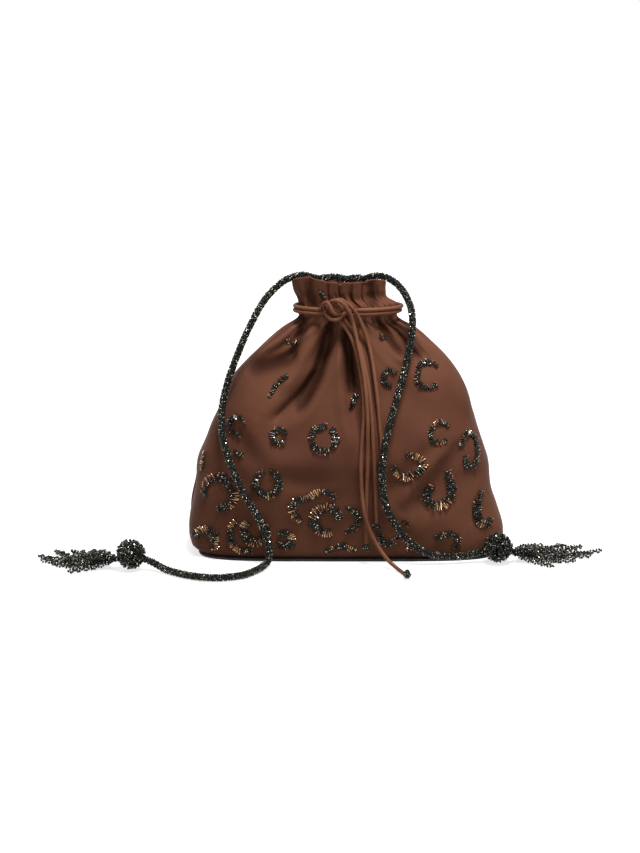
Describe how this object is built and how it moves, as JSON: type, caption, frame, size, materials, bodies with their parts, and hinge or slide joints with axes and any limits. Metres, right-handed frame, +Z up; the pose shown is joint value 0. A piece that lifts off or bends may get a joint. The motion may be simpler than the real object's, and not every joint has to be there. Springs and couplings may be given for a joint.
{
  "type": "potli bag",
  "caption": "Gathered satin pouch on a flat rounded base, with a knotted drawcord, a beaded rope strap ending in bead fringes, and sewn leopard-spot bead motifs.",
  "frame": {"origin": "on the floor, under the middle of the bag's own box, without its strap and cord tails", "axes": "+X to the right across the bag as seen from the front, +Y from the front to the back, +Z up from the base to the mouth"},
  "size_m": [0.4446, 0.1638, 0.222],
  "materials": {
    "satin_brown": "satin",
    "lining_pink": "soft sheen",
    "cord_brown": "satin braid",
    "bead_black": "polished opaque",
    "base_black": "matte",
    "thread_pale": "twisted thread"
  },
  "bodies": {
    "root": {"outer_shell": "satin_brown", "lining": "lining_pink", "base_panel": "base_black", "drawcord_upper_turn": "cord_brown", "drawcord_lower_turn": "cord_brown", "drawcord_knot": "cord_brown", "strap_rope": "bead_black", "strap_ball_left": "bead_black", "strap_ball_right": "bead_black", "strap_fringe_left": "bead_black", "strap_fringe_right": "bead_black", "strap_keeper_left": "thread_pale", "strap_keeper_right": "thread_pale", "drawcord_tail_1": "cord_brown", "tail_ball_1": "bead_black", "drawcord_tail_2": "cord_brown", "tail_ball_2": "bead_black", "drawcord_tail_3": "cord_brown", "tail_ball_3": "bead_black", "drawcord_tail_4": "cord_brown", "tail_ball_4": "bead_black", "bead_spot_01": "bead_black", "bead_spot_02": "bead_black", "bead_spot_03": "bead_black", "bead_spot_04": "bead_black", "bead_spot_05": "bead_black", "bead_spot_06": "bead_black", "bead_spot_07": "bead_black", "bead_spot_08": "bead_black", "bead_spot_09": "bead_black", "bead_spot_10": "bead_black", "bead_spot_11": "bead_black", "bead_spot_12": "bead_black", "bead_spot_13": "bead_black", "bead_spot_14": "bead_black", "bead_trail_01": "bead_black", "bead_trail_02": "bead_black", "bead_trail_03": "bead_black", "bead_trail_04": "bead_black", "bead_trail_05": "bead_black", "bead_trail_06": "bead_black", "bead_trail_07": "bead_black", "bead_trail_08": "bead_black", "bead_trail_09": "bead_black", "bead_trail_10": "bead_black", "bead_trail_11": "bead_black", "bead_trail_12": "bead_black", "bead_trail_13": "bead_black", "bead_trail_14": "bead_black", "bead_trail_15": "bead_black", "bead_trail_16": "bead_black", "bead_trail_17": "bead_black", "bead_trail_18": "bead_black", "bead_trail_19": "bead_black", "back_spot_01": "bead_black", "back_spot_02": "bead_black", "back_spot_03": "bead_black", "back_spot_04": "bead_black", "back_spot_05": "bead_black", "back_spot_06": "bead_black"}
  },
  "joints": []
}
